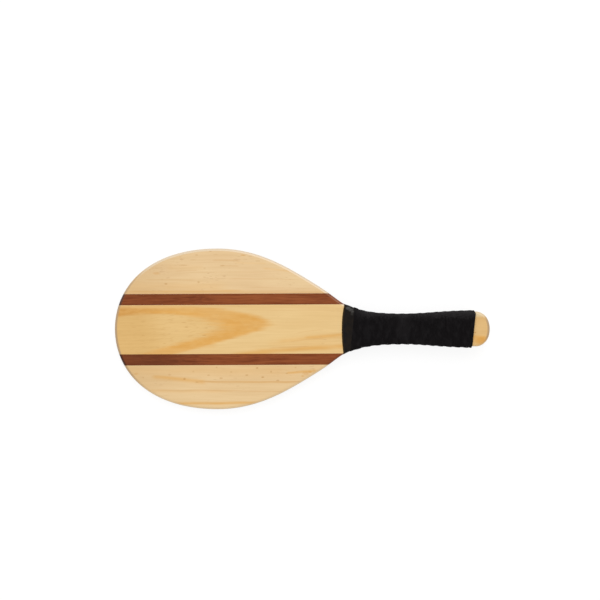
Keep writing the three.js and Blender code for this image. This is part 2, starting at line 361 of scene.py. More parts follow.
def wound(name, node, material, steps, section, lay):
    """A band wound round the handle: a grid with one way along the winding and the other round the
    band's own section, which closes on itself."""
    mesh = bmesh.new()
    mesh.loops.layers.uv.new("along_the_tape")
    bmesh.ops.create_grid(mesh, x_segments=steps, y_segments=len(section), size=0.5, calc_uvs=True)
    for vert in mesh.verts:
        row = round((vert.co.y + 0.5) * len(section)) % len(section)
        vert.co = lay(vert.co.x + 0.5, *section[row])
    bmesh.ops.remove_doubles(mesh, verts=mesh.verts, dist=TINY / 10)
    bmesh.ops.holes_fill(mesh, edges=[e for e in mesh.edges if e.is_boundary], sides=0)
    bmesh.ops.recalc_face_normals(mesh, faces=mesh.faces)
    soften(mesh, TAPE_SHARP_ANGLE)
    return finish(mesh, name, node, material)


# The grip tape. Its pitch is wider over the neck, and its last lap at the butt lies over a doubled start.
NECK_PITCH = 11.1 * MM
PALM_PITCH = 9.45 * MM
NECK_LAPS = 5
LAP_STEPS = 96
LAP_LENGTH = 105 * MM  # about how long its way round the handle is
TAPE_LAYER = 0.74 * MM
TAPE_FLOAT = 0.02 * MM
TAPE_LIFT = 0.76 * MM
TAPE_SHARP_ANGLE = math.radians(75)
# Its ends lie where it is as narrow as this, and they are looked for from these windings on.
LEAST_WIDTH = 0.4 * MM
SEARCH_WINDINGS = (0.26, 14.2)
SEARCH_STEP = 0.01
# Its own section, in shares of a lap from its edge towards the butt: under it, round that edge with how
# far up, and on top.
OVERLAP_SHARE = 0.28
LIFTED_SHARE = 0.3
LEVEL_SHARE = 0.58
UNDER_SHARES = (1 + OVERLAP_SHARE, 1, 0.8, LEVEL_SHARE, 0.5, 0.44, 0.38, LIFTED_SHARE, 0.16, 0.05)
ROUND_SHARES = ((0.012, 0.06), (0, 0.25), (-0.006, 0.5), (0, 0.76), (0.014, 0.93))
OVER_SHARES = (
    0.035, 0.08, 0.16, 0.24, LIFTED_SHARE, 0.35, 0.4, 0.45, 0.5, LEVEL_SHARE, 0.66, 0.75, 0.85, 0.95, 1.05,
    1 + OVERLAP_SHARE,
)
# Over the handle's narrow sides the tape is pulled tight: its laps step less and, on the upper side,
# it lies thinner. There its doubled start makes one low bump.
SIDE_SHARES = (0.3, 0.95)  # of the half width, from where to where
UPPER_FILL_SHARE = 0.65
LOWER_FILL_SHARE = 0.42
PULLED_SHARE = 0.14
START_BUMP = 0.75 * MM
START_BUMP_LENGTH = 6.8 * MM
START_BUMP_RISE = 2 * MM
START_BUMP_FALL = 1 * MM
START_BUMP_SHARES = (0.6, 0.95)
# Its end at the butt: the slope of the line, the corners cut off it, and how the last lap thins out.
END_LINE_PITCH = 12 * MM
END_LINE_SETBACK = 0.1 * MM
BUTT_CORNER = {"upper": 2.9 * MM, "lower": 1.1 * MM}
BUTT_CORNER_RISE = (17 * MM, 21 * MM)
DOUBLED_RISE = 1 * MM
NARROW_WIDTH = 3 * MM
NARROW_SHARE = 0.45
# Its edge wavers, but for its start and its end, and its surface is worn in ripples of two sizes, as
# (size, seed, height).
WAVER = 0.22 * MM
WAVER_SIZE = 9 * MM
WAVER_SEED = 3.1
WAVER_WINDINGS = (0.6, 1.1)
WAVER_FADE = 4 * MM
WORN_RIPPLES = (
    (7 * MM, 7.7, 0.1 * MM),
    (2.6 * MM, 1.9, 0.05 * MM),
)
WORN_DEPTH = 0.1 * MM


def seam(winding):
    """Where the tape's edge towards the butt lies after so many windings."""
    blend = NECK_LAPS + (winding - NECK_LAPS) * PALM_PITCH / NECK_PITCH
    return tape_start + NECK_PITCH * (winding if winding < NECK_LAPS else blend)


def end_line(place, winding_pitch, y):
    """The line across the handle on which a wrapping starts or ends."""
    return place + winding_pitch / around(place) * y


def tape_edges(winding):
    """The tape's two edges in its lap, and how far the butt's end line has cut it back."""
    y = on_handle(seam(winding - 0.5), winding, 0).y
    first = end_line(tape_start, NECK_PITCH, y)
    corner = BUTT_CORNER["upper" if y > 0 else "lower"] * smooth(*BUTT_CORNER_RISE, abs(y))
    last = end_line(tape_end - END_LINE_SETBACK, END_LINE_PITCH, y) - corner
    butt_edge = seam(winding)
    return max(seam(winding - 1), first), min(butt_edge, last), butt_edge - last


def windings():
    """The first and the last winding where the tape is wider than its least width."""
    start, end = SEARCH_WINDINGS
    while tape_edges(start)[1] - tape_edges(start)[0] < LEAST_WIDTH:
        start += SEARCH_STEP
    while tape_edges(end)[1] - tape_edges(end)[0] < LEAST_WIDTH:
        end -= SEARCH_STEP
    return start, end


tape_from, tape_to = windings()


def tape_section():
    """The tape's own section as (share of the lap from the butt's edge, side): 0 under it, 1 on top."""
    return [(u, 0) for u in UNDER_SHARES] + list(ROUND_SHARES) + [(u, 1) for u in OVER_SHARES]


def ripple(winding, across, size, seed):
    """Seeded soft noise over the tape's surface, from -1 to 1."""
    return noise.noise(Vector((winding * LAP_LENGTH / size, across / size, seed)))


def lay_tape(share, across, side):
    """A point of the grip tape."""
    winding = tape_from + (tape_to - tape_from) * share
    head_edge, butt_edge, cut_back = tape_edges(winding)
    width = butt_edge - head_edge
    pitch = seam(winding) - seam(winding - 1)
    start_line = end_line(tape_start, NECK_PITCH, on_handle(head_edge, winding, 0).y)
    wavering = smooth(*WAVER_WINDINGS, winding) * smooth(0, WAVER_FADE, -cut_back)
    waver = WAVER * ripple(winding, 0, WAVER_SIZE, WAVER_SEED) * wavering
    place = max(butt_edge + waver - across * min(width, pitch), start_line)
    lifted = 1 - smooth(LIFTED_SHARE, LEVEL_SHARE, across)
    doubled = smooth(-DOUBLED_RISE, DOUBLED_RISE, cut_back)
    low = TAPE_FLOAT + TAPE_LIFT * lifted * (1 - doubled)
    upper = on_handle(place, winding, 0).y / half_width(place)
    filled = smooth(*SIDE_SHARES, abs(upper)) * (UPPER_FILL_SHARE if upper > 0 else LOWER_FILL_SHARE)
    high = TAPE_FLOAT + TAPE_LIFT * (lifted + (1 - lifted) * filled) + TAPE_LAYER
    narrow = smooth(0, NARROW_WIDTH, width)
    high = low + (high - low) * (NARROW_SHARE + (1 - NARROW_SHARE) * narrow)
    height = low + (high - low) * side
    height *= 1 - PULLED_SHARE * smooth(*SIDE_SHARES, upper)
    from_start = place - tape_start
    bump = smooth(0, START_BUMP_RISE, from_start)
    bump *= smooth(START_BUMP_LENGTH, START_BUMP_LENGTH - START_BUMP_FALL, from_start)
    height += START_BUMP * bump * smooth(*START_BUMP_SHARES, upper)
    if across < 1:
        worn = sum(ripple(winding, place, size, seed) * rise for size, seed, rise in WORN_RIPPLES)
        height += (worn - WORN_DEPTH) * side
    return on_handle(place, winding, height)


def lay_collar(share, across, side):
    """A point of the collar, which is wound on itself in thin layers."""
    turn = share * COLLAR_TURNS
    lap = turn + COLLAR_START_SHARE
    y = on_handle(collar_middle, lap, 0).y
    wide = half_width(collar_middle)
    slip = COLLAR_WAVER * noise.noise(Vector((turn * COLLAR_WAVERS, 0, COLLAR_SEEDS["waver"])))
    bow = COLLAR_BOW["upper" if y > 0 else "lower"]
    head_line = collar_edge + COLLAR_SLIP + bow * (y / wide) ** 2 + slip
    tape_line = end_line(tape_start, NECK_PITCH, on_handle(tape_start, lap, 0).y) - COLLAR_SEAM
    place = head_line + (tape_line - head_line) * across
    creases = Vector((turn * COLLAR_CREASES[0], across * COLLAR_CREASES[1], COLLAR_SEEDS["crease"]))
    crease = COLLAR_WAVER * noise.noise(creases) * smooth(0, COLLAR_SMOOTH_SHARE, across)
    upper = (1 + y / wide) / 2
    climb = COLLAR_CLIMB["lower"] + (COLLAR_CLIMB["upper"] - COLLAR_CLIMB["lower"]) * upper
    raised = climb * smooth(0, 1 - COLLAR_EARLY_SHARE * upper, across) - COLLAR_HUG
    layers = COLLAR_LAYER * (turn + side * COLLAR_FILL_SHARE)
    return on_handle(place, lap, raised + layers + crease * side)


def collar_section():
    """The collar band's own section as (share across, side)."""
    under = [(u / COLLAR_UNDER_STEPS, 0) for u in range(COLLAR_UNDER_STEPS + 1)]
    over = [(1 - u / COLLAR_OVER_STEPS, 1) for u in range(COLLAR_OVER_STEPS + 1)]
    return under + [(1 + COLLAR_EDGE_SHARE, 0.5)] + over + [(-COLLAR_EDGE_SHARE, 0.5)]


def linear(red, green, blue):
    """A screen colour from 0 to 255 as the linear values that a shader takes."""
    def channel(value):
        share = value / 255
        return share / 12.92 if share <= 0.04045 else ((share + 0.055) / 1.055) ** 2.4
    return (channel(red), channel(green), channel(blue), 1)


class Graph:
    """A node tree, with short calls for what the finishes need."""

    def __init__(self, tree):
        self.tree = tree

    def feed(self, socket, value):
        if isinstance(value, bpy.types.NodeSocket):
            self.tree.links.new(value, socket)
        else:
            socket.default_value = value

    def node(self, kind, feeds=None, **settings):
        node = self.tree.nodes.new("ShaderNode" + kind)
        for name, value in settings.items():
            setattr(node, name, value)
        for socket, value in (feeds or {}).items():
            self.feed(node.inputs[socket], value)
        return node

    def math(self, operation, *values):
        return self.node("Math", dict(enumerate(values)), operation=operation).outputs[0]

    def chain(self, operation, values):
        result = values[0]
        for value in values[1:]:
            result = self.math(operation, result, value)
        return result

    def total(self, *values):
        return self.chain("ADD", values)

    def times(self, *values):
        return self.chain("MULTIPLY", values)

    def minus(self, first, second):
        return self.math("SUBTRACT", first, second)

    def swing(self, value, reach):
        """Noise from 0 to 1 as a swing to either side, of this reach from end to end."""
        return self.times(self.minus(value, 0.5), reach)

    def most(self, values):
        return self.chain("MAXIMUM", values)

    def rise(self, value, low, high, to_low=0.0, to_high=1.0):
        """An even rise from to_low at low to to_high at high, flat outside."""
        feeds = {"Value": value, "From Min": low, "From Max": high, "To Min": to_low, "To Max": to_high}
        return self.node("MapRange", feeds, interpolation_type="SMOOTHSTEP").outputs["Result"]

    def mix(self, share, first, second, blend="MIX"):
        node = self.node("Mix", {0: share, 6: first, 7: second}, data_type="RGBA", blend_type=blend)
        return node.outputs[2]

    def split(self, vector):
        return self.node("SeparateXYZ", {0: vector}).outputs[:3]

    def join(self, x, y, z):
        return self.node("CombineXYZ", {0: x, 1: y, 2: z}).outputs[0]

    def vector(self, operation, first, second):
        return self.node("VectorMath", {0: first, 1: second}, operation=operation).outputs[0]

    def noise(self, vector, scale, detail=2.0, roughness=0.5):
        feeds = {"Vector": vector, "Scale": scale, "Detail": detail, "Roughness": roughness}
        return self.node("TexNoise", feeds).outputs["Fac"]

    def group(self, group, feeds):
        node = self.tree.nodes.new("ShaderNodeGroup")
        node.node_tree = group
        for socket, value in feeds.items():
            self.feed(node.inputs[socket], value)
        return node.outputs


def new_group(name, inputs, outputs):
    """An empty node group and its graph, with the named sockets and their usual values."""
    tree = bpy.data.node_groups.new(name, "ShaderNodeTree")
    for socket, value in inputs.items():
        kind = "NodeSocketVector" if value is None else "NodeSocketFloat"
        made = tree.interface.new_socket(name=socket, in_out="INPUT", socket_type=kind)
        if value is not None:
            made.default_value = value
    for socket in outputs:
        tree.interface.new_socket(name=socket, in_out="OUTPUT", socket_type="NodeSocketFloat")
    graph = Graph(tree)
    return tree, graph, tree.nodes.new("NodeGroupInput").outputs, tree.nodes.new("NodeGroupOutput").inputs


# How far noise carries the grain off its line, and how deep a spot of resin goes.
FIBRE_WAVER = 5 * MM
LINE_WAVER = 1.6 * MM
RING_WAVER = 3 * MM
SPOT_DEPTH = 4 * MM
LINE_FADE_SHARE = 0.14  # how much of a growth line fades at each end
ALONG_SHARES = (0.3, 1, 1)  # draws noise out along the board


def wood_fibres():
    """Fibres, flecks and slow changes of tone that all run along the board."""
    group, g, given, out = new_group(
        "wood fibres",
        {"Position": None, "Seed": 0.0, "Fleck Share": 0.3},
        ("Fibre", "Tone", "Fleck", "Height"),
    )
    seed = given["Seed"]
    seeds = g.join(seed, g.times(seed, 0.37), g.times(seed, 0.71))
    x, y, z = g.split(g.vector("ADD", given["Position"], seeds))
    y = g.total(y, g.swing(g.noise(g.join(x, y, z), 9.0, 1.0), FIBRE_WAVER))

    def drawn_out(share, scale, detail, roughness=0.5):
        return g.noise(g.join(g.times(x, share), y, z), scale, detail, roughness)

    fibre = drawn_out(0.022, 1500.0, 3.0, 0.6)
    streak = drawn_out(0.05, 380.0, 2.0)
    tone = drawn_out(0.16, 60.0, 2.0)
    dash = drawn_out(0.13, 1000.0, 1.0)
    patch = drawn_out(0.5, 42.0, 1.0)
    edge = g.minus(0.86, g.times(given["Fleck Share"], g.rise(patch, 0.3, 0.7)))
    fleck = g.rise(dash, edge, g.total(edge, 0.07))
    g.feed(out["Fibre"], g.total(g.times(fibre, 0.5), g.times(streak, 0.5)))
    g.feed(out["Tone"], g.rise(tone, 0.3, 0.7))
    g.feed(out["Fleck"], fleck)
    g.feed(out["Height"], g.minus(fibre, g.times(fleck, 0.6)))
    return group


def growth_line():
    """One line or band of dark wood along a board: crisp on one side, soft on the other."""
    group, g, given, out = new_group(
        "growth line",
        {"Position": None, "Start X": 0.0, "End X": 100 * MM, "Start Y": 0.0, "End Y": 0.0, "Bend": 0.0,
         "Lean": 0.5, "Level": 5 * MM, "Upper Width": 1 * MM, "Lower Width": 1 * MM, "Strength": 1.0},
        ("Mask",),
    )
    x, y, z = g.split(given["Position"])
    run = g.minus(given["End X"], given["Start X"])
    share = g.math("DIVIDE", g.minus(x, given["Start X"]), run)
    arch = g.times(share, g.minus(1.0, share), g.times(given["Bend"], 4.0))
    straight = g.math("MULTIPLY_ADD", g.minus(given["End Y"], given["Start Y"]), share, given["Start Y"])
    line = g.total(straight, arch, g.swing(g.noise(given["Position"], 35.0, 1.0), LINE_WAVER))
    depth = g.minus(given["Level"], z)
    off = g.minus(g.math("MULTIPLY_ADD", depth, given["Lean"], y), line)
    above = g.math("GREATER_THAN", off, 0.0)
    wider = g.minus(given["Upper Width"], given["Lower Width"])
    width = g.math("MULTIPLY_ADD", wider, above, given["Lower Width"])
    squared = g.math("POWER", g.math("ABSOLUTE", g.math("DIVIDE", off, width)), 2.0)
    fall = g.math("POWER", math.e, g.times(squared, -1.0))
    ends = g.times(g.rise(share, 0.0, LINE_FADE_SHARE), g.rise(share, 1.0, 1 - LINE_FADE_SHARE))
    drawn_out = g.vector("MULTIPLY", given["Position"], ALONG_SHARES)
    patchy = g.rise(g.noise(drawn_out, 160.0, 2.0), 0.2, 0.62, 0.7, 1.0)
    g.feed(out["Mask"], g.times(fall, ends, g.times(patchy, given["Strength"])))
    return group


def resin_spot():
    """A small dark spot of resin or a pin knot, drawn out along the fibres."""
    group, g, given, out = new_group(
        "resin spot",
        {"Position": None, "X": 0.0, "Y": 0.0, "Z": 5 * MM, "Length": 2 * MM, "Width": 1 * MM},
        ("Mask",),
    )
    x, y, z = g.split(given["Position"])

    def squared(value, centre, size):
        return g.math("POWER", g.math("DIVIDE", g.minus(value, centre), size), 2.0)

    distance = g.total(
        squared(x, given["X"], given["Length"]),
        squared(y, given["Y"], given["Width"]),
        squared(z, given["Z"], SPOT_DEPTH),
        g.swing(g.noise(given["Position"], 900.0, 1.0), 0.9),
    )
    g.feed(out["Mask"], g.rise(distance, 1.3, 0.1))
    return group


def cut_ends():
    """How far a face looks along the board, where the cut fibres drink the lacquer and darken, the
    growth rings that show there, and how far it turns away from the board's faces."""
    group, g, given, out = new_group(
        "cut ends",
        {"Position": None, "Normal": None, "Ring Y": 0.0, "Ring Z": -60 * MM, "Ring Width": 6 * MM},
        ("Mask", "Ring", "Rim", "Turn"),
    )
    x, y, z = g.split(given["Position"])
    facing = g.split(given["Normal"])
    away = g.math("ABSOLUTE", facing[0])
    across = g.math("POWER", g.minus(y, given["Ring Y"]), 2.0)
    down = g.math("POWER", g.minus(z, given["Ring Z"]), 2.0)
    radius = g.math("SQRT", g.total(across, down))
    radius = g.total(radius, g.times(g.noise(given["Position"], 60.0, 1.0), RING_WAVER))
    ring = g.math("FRACT", g.math("DIVIDE", radius, given["Ring Width"]))
    along = g.math("DIVIDE", facing[0], g.total(away, g.math("ABSOLUTE", facing[1])))
    to_end = g.math("MAXIMUM", g.rise(along, -0.3, -0.72), g.rise(along, 0.45, 0.75))
    level = g.math("ABSOLUTE", facing[2])
    reach = g.rise(facing[1], -0.1, 0.1, 0.6, 0.985)
    g.feed(out["Mask"], g.times(g.rise(away, 0.0, 0.3), to_end))
    g.feed(out["Ring"], g.times(g.rise(ring, 0.35, 0.9), g.rise(ring, 1.0, 0.93)))
    g.feed(out["Rim"], g.times(g.rise(level, 1.0, reach), g.rise(level, 0.0, 0.35)))
    g.feed(out["Turn"], g.rise(level, 0.97, 0.72))
    return group


fibres_group = wood_fibres()
line_group = growth_line()
spot_group = resin_spot()
ends_group = cut_ends()


def start_material(name, roughness, **constants):
    """A material with its graph, its shader and the place and normal that its nodes read."""
    material = bpy.data.materials.new(name)
    material.use_nodes = True
    g = Graph(material.node_tree)
    shader = material.node_tree.nodes["Principled BSDF"]
    shader.inputs["Roughness"].default_value = roughness
    for socket, value in constants.items():
        shader.inputs[socket.replace("_", " ")].default_value = value
    place = g.node("TexCoord").outputs["Object"]
    normal = g.node("NewGeometry").outputs["Normal"]
    return material, g, shader.inputs, place, normal


def bump(g, height, distance):
    return g.node("Bump", {"Height": height, "Distance": distance, "Strength": 1.0}).outputs["Normal"]


def lines_mask(g, place, lines, level):
    masks = []
    for start_x, end_x, start_y, end_y, bend, upper, lower, strength in lines:
        feeds = {"Position": place, "Start X": start_x * MM, "End X": end_x * MM, "Start Y": start_y * MM,
                 "End Y": end_y * MM, "Bend": bend * MM, "Upper Width": upper * MM, "Lower Width": lower * MM,
                 "Strength": strength, "Level": level}
        masks.append(g.group(line_group, feeds)["Mask"])
    return g.most(masks)


def spots_mask(g, place, spots, level):
    masks = []
    for x, y, length, width, strength in spots:
        feeds = {"Position": place, "X": x * MM, "Y": y * MM, "Z": level,
                 "Length": length * MM, "Width": width * MM}
        masks.append(g.times(g.group(spot_group, feeds)["Mask"], strength))
    return g.most(masks)


def across_boards(g, place):
    """How far across the boards a place lies, square to their glue lines."""
    x, y, z = g.split(place)
    return g.math("MULTIPLY_ADD", g.minus(x, collar_edge), -math.tan(BOARD_TURN), y)


def pine_finish(name, light, dark, seed, fleck_share=0.3, ring_y=0.0, ring_z=-60.0, level=blade_half,
                figure=None, lines=(), spots=(), knots=(), glow=(), dust=(), tip_shade=0.0, upper_highlight=False,
                rim=0.85):
    """Lacquered pine. figure paints the board's own broad figure over the ground; lines are growth lines,
    glow is orange wood, spots are resin and knots are reddish. dust is the mahogany's, as (glue line,
    share). The flag for the upper side paints a highlight along a scale's upper side, and rim sets how
    much painted light the long rims carry."""
    material, g, shader, place, normal = start_material(
        name, 0.5, Specular_IOR_Level=0.12, Coat_Roughness=0.28, IOR=1.5,
    )
    x, y, z = g.split(place)
    fibres = g.group(fibres_group, {"Position": place, "Seed": seed, "Fleck Share": fleck_share})
    rings = {"Position": place, "Normal": normal, "Ring Y": ring_y * MM, "Ring Z": ring_z * MM}
    ends = g.group(ends_group, rings)
    colour = g.mix(fibres["Tone"], light, dark)
    if figure:
        colour = figure(g, place, colour, fibres)
    if glow:
        colour = g.mix(lines_mask(g, place, glow, level), colour, ORANGE_WOOD)
    if lines:
        colour = g.mix(lines_mask(g, place, lines, level), colour, LATE_WOOD)
    shade = g.rise(fibres["Fibre"], 0.32, 0.68, 0.955, 1.03)
    tint = g.join(shade, g.math("POWER", shade, 1.3), g.math("POWER", shade, 1.9))
    colour = g.mix(1.0, colour, tint, "MULTIPLY")
    colour = g.mix(g.times(fibres["Fleck"], 0.4), colour, FLECK_WOOD)
    if spots:
        colour = g.mix(spots_mask(g, place, spots, level), colour, RESIN)
    if knots:
        colour = g.mix(spots_mask(g, place, knots, level), colour, KNOT)
    if tip_shade:
        colour = g.mix(g.times(g.rise(x, *TIP_SHADE), tip_shade), colour, TIP_PINE)
    # A painted highlight along a scale's upper side, where its rounded edge faces the light.
    if upper_highlight:
        colour = g.mix(g.times(g.rise(y, *PAINTED_HIGHLIGHT_SIDE), 0.7), colour, PAINTED_HIGHLIGHT_PINE)
    for line, share in dust:
        off = g.math("ABSOLUTE", g.minus(across_boards(g, place), line))
        colour = g.mix(g.times(g.rise(off, DUST_REACH, 0.0), share), colour, DUSTED_PINE)
    colour = g.mix(g.times(ends["Ring"], g.times(ends["Mask"], 0.5)), colour, ORANGE_WOOD)
    colour = g.mix(g.times(ends["Mask"], 0.84), colour, END_PINE)
    # The long rims take painted light: a pale highlight where they face up, a lightened shade where they face
    # down.
    long_rim = g.times(ends["Rim"], g.rise(ends["Mask"], 0.0, 0.5, rim, 0.05))
    inner_rim_light = g.mix(g.rise(x, *RIM_LIGHT_TOWARDS_TIP), PAINTED_RIM_LIGHT_TIP, PAINTED_RIM_LIGHT_INNER)
    upper_rim_light = g.mix(ends["Turn"], inner_rim_light, PAINTED_RIM_LIGHT_OUTER)
    painted_rim_light = g.mix(g.rise(g.split(normal)[1], -0.35, 0.35), PAINTED_RIM_LIGHT_LOWER, upper_rim_light)
    colour = g.mix(long_rim, colour, painted_rim_light)
    g.feed(shader["Base Color"], colour)
    g.feed(shader["Roughness"], g.rise(fibres["Fibre"], 0.3, 0.7, 0.56, 0.42))
    g.feed(shader["Coat Weight"], g.math("MULTIPLY_ADD", long_rim, 0.6, 0.14))
    g.feed(shader["Normal"], bump(g, fibres["Height"], PINE_RELIEF))
    return material


PINE_RELIEF = 0.06 * MM
DUST_REACH = 6 * MM
# From where to where the pine changes: along it towards the tip, across a scale, where a painted
# highlight lies on its upper side, and along its rim, where the painted rim light dims towards the tip.
TIP_SHADE = (-110 * MM, -200 * MM)
PAINTED_HIGHLIGHT_SIDE = (11.5 * MM, 16.5 * MM)
RIM_LIGHT_TOWARDS_TIP = (-110 * MM, -40 * MM)
DUSTED_PINE = linear(211, 148, 70)
TIP_PINE = linear(203, 168, 118)
LATE_WOOD = linear(208, 156, 94)
ORANGE_WOOD = linear(224, 170, 92)
FLECK_WOOD = linear(194, 150, 106)
RESIN = linear(184, 128, 60)
KNOT = linear(209, 142, 36)
# A painted highlight for a scale's upper side.
PAINTED_HIGHLIGHT_PINE = linear(228, 212, 174)
END_PINE = linear(177, 149, 116)
# Painted light on the rounded rims: where they face up a pale highlight and reflection, greyer on the outer
# part of the round and dimmer towards the tip; where they face down, a lightening of their shade.
PAINTED_RIM_LIGHT_OUTER = linear(222, 203, 177)
PAINTED_RIM_LIGHT_INNER = linear(238, 212, 178)
PAINTED_RIM_LIGHT_TIP = linear(221, 201, 169)
PAINTED_RIM_LIGHT_LOWER = linear(236, 207, 164)

# The arch of late wood on the centre stave. It points at the handle, its middle line sinks towards the
# tip, and its half width grows with the distance from its point. A blunter arch of pale heart lies
# within it. Deeper in the board both points lie further from the handle. The edges of both are soft
# and wispy, and both darken towards the tip.
ARCH_POINT = -36.8 * MM
ARCH_MIDDLE = 5.9 * MM
ARCH_CURVE = 0.61
ARCH_BLUNT = 4.25 * MM
ARCH_OPEN = 0.108
ARCH_WISPS = 20 * MM
ARCH_SOFT = (-10 * MM, 10 * MM)
ARCH_TOP = (25.5 * MM, 22.5 * MM)
ARCH_DEEPENS = (-140 * MM, -205 * MM)
HEART_POINT = -92 * MM
HEART_MIDDLE = 1.6 * MM
HEART_CURVE = 1.0
HEART_BLUNT = 5.9 * MM
HEART_WISPS = 45 * MM
HEART_SOFT = (-14 * MM, 20 * MM)
HEART_DEEPENS = (-145 * MM, -183 * MM)
ARCH_DEPTH_SHIFT = 5.0
ARCH_WAVER = 3 * MM
ARCH_WOOD = linear(224, 167, 85)
ARCH_WOOD_PALE = linear(231, 183, 108)
ARCH_WOOD_DEEP = linear(206, 148, 72)
HEART_WOOD = linear(229, 191, 128)
HEART_WOOD_DEEP = linear(222, 181, 115)
HEART_DASH = linear(206, 160, 96)


def cathedral(g, place, colour, fibres):
    """The centre stave's arch of late wood and the heart within it."""
    x, y, z = g.split(place)
    shift = g.times(g.minus(z, blade_half), ARCH_DEPTH_SHIFT)
    drawn_out = g.vector("MULTIPLY", place, ALONG_SHARES)
    wisp = g.minus(g.noise(g.vector("MULTIPLY", place, (0.07, 1, 1)), 520.0, 4.0, 0.6), 0.5)
    y = g.total(y, g.swing(g.noise(drawn_out, 60.0, 2.0), ARCH_WAVER))

    def inside(point, middle, curve, blunt, opening, wisps):
        """How far inside an arch a point lies, measured along the board."""
        away = g.minus(g.total(shift, point), x)
        sunk = g.math("MULTIPLY_ADD", g.times(away, away), -curve, middle)
        half = g.math("ABSOLUTE", g.minus(y, sunk))
        reach = g.math("DIVIDE", g.times(half, half), g.math("MULTIPLY_ADD", half, opening, blunt))
        flow = g.math("MULTIPLY_ADD", away, -0.1, half)
        return g.math("MULTIPLY_ADD", wisp, wisps, g.minus(away, reach)), flow

    in_arch, flow = inside(ARCH_POINT, ARCH_MIDDLE, ARCH_CURVE, ARCH_BLUNT, ARCH_OPEN, ARCH_WISPS)
    in_heart = inside(HEART_POINT, HEART_MIDDLE, HEART_CURVE, HEART_BLUNT, 0.0, HEART_WISPS)[0]
    arch = g.times(g.rise(in_arch, *ARCH_SOFT), g.rise(y, *ARCH_TOP, 0.5, 1.0))
    heart = g.rise(in_heart, *HEART_SOFT)
    late = g.mix(g.rise(x, *ARCH_DEEPENS), ARCH_WOOD, ARCH_WOOD_DEEP)
    mottle = g.rise(g.noise(g.vector("MULTIPLY", place, (0.4, 1, 1)), 230.0, 3.0, 0.6), 0.4, 0.66)
    late = g.mix(g.times(mottle, 0.4), late, ARCH_WOOD_PALE)
    late = g.mix(g.rise(fibres["Tone"], 0.0, 1.0, 0.0, 0.3), late, colour)
    towards_tip = g.math("MULTIPLY_ADD", y, 0.4, x)
    pale = g.mix(g.rise(towards_tip, *HEART_DEEPENS), HEART_WOOD, HEART_WOOD_DEEP)
    dash = g.rise(g.noise(g.join(g.times(x, 0.16), flow, z), 620.0, 1.0), 0.56, 0.72)
    pale = g.mix(g.times(dash, 0.3), pale, HEART_DASH)
    return g.mix(arch, colour, g.mix(heart, late, pale))


# Growth lines as (start x, end x, start y, end y, bend, upper width, lower width, strength), and spots
# as (x, y, length, width, strength), in millimetres on the front face.
STAVE_GLOW = (
    (-62, 80, -26.1, -18.2, 0.3, 3.0, 2.6, 0.82),
    (-84, 0, -31.2, -21.9, 0.9, 2.9, 2.6, 0.8),
    (-34, 80, -14.4, -6.6, 0.6, 2.6, 2.8, 0.46),
    (-4, 80, -11.0, -5.6, 0.7, 2.1, 2.2, 0.75),
    (-44, 60, -17.2, -15.6, 0.0, 4.0, 4.0, 0.2),
    (-168, -92, -25.6, -19.0, 0.0, 1.8, 1.8, 0.35),
)
STAVE_LINES = (
    (-40, 10, -21.2, -19.8, 0.3, 0.5, 0.7, 0.36),
    (-16, 30, -14.6, -9.6, 0.3, 0.4, 0.6, 0.3),
    (-8, 26, -5.2, -0.8, 0.9, 0.4, 0.5, 0.32),
    (-44, 60, 20.8, 20.0, 0.1, 0.3, 0.4, 0.22),
    (-30, 60, 23.8, 23.2, 0.1, 0.3, 0.4, 0.2),
)
STAVE_SPOTS = (
    (23, -16.3, 1.8, 0.5, 0.2),
    (-129.7, 2.0, 2.2, 0.7, 0.36),
    (-120.5, 3.6, 2.4, 0.6, 0.18),
    (-132.5, 7.2, 3.4, 0.5, 0.34),
    (-107.5, 1.1, 2.2, 0.7, 0.3),
    (-109.7, -7.1, 2.6, 0.6, 0.32),
    (-178.3, 8.5, 2.6, 0.5, 0.16),
    (-188.7, 2.0, 2.6, 0.5, 0.26),
    (-178.3, -7.4, 2.4, 0.6, 0.27),
    (-179.2, -13.7, 2.8, 0.5, 0.2),
    (-154.0, -16.3, 2.2, 0.6, 0.24),
    (-161.8, -21.0, 2.2, 0.6, 0.18),
    (-149.2, 10.7, 2.2, 0.5, 0.16),
    (-100.1, -2.8, 2.0, 0.6, 0.15),
)
UPPER_LINES = (
    (-178, -118, 55.2, 54.6, 0.2, 0.5, 0.6, 0.3),
    (-102, -68, 77.2, 76.4, 0.2, 0.5, 0.7, 0.45),
    (-92, -70, 71.0, 70.6, 0.0, 0.4, 0.5, 0.35),
    (-144, -116, 65.3, 65.2, 0.1, 0.4, 0.5, 0.3),
    (-86, 0, 55.9, 55.3, 0.4, 0.5, 0.7, 0.3),
    (-150, -40, 62.0, 63.4, 0.7, 0.4, 0.5, 0.16),
    (-60, 20, 46.5, 45.0, 0.3, 0.5, 0.5, 0.22),
)
UPPER_SPOTS = (
    (-152.6, 50.5, 1.9, 1.1, 0.5),
    (-116.1, 52.4, 1.5, 1.2, 0.36),
    (-109.3, 67.9, 1.6, 1.2, 0.16),
    (-109.5, 58.0, 1.8, 0.7, 0.2),
    (-89.5, 70.9, 3.0, 0.8, 0.3),
    (-118.4, 82.8, 2.0, 0.9, 0.27),
    (-133.0, 71.4, 5.5, 0.5, 0.38),
    (-102.8, 87.3, 1.8, 0.8, 0.55),
    (-122.2, 77.4, 4.0, 0.7, 0.17),
    (-97.0, 83.4, 3.0, 0.8, 0.15),
    (-49.6, 76.2, 3.4, 0.7, 0.26),
)
UPPER_KNOTS = (
    (-163.3, 62.3, 4.6, 1.7, 0.3),
    (-66.2, 82.6, 3.0, 0.9, 0.4),
)
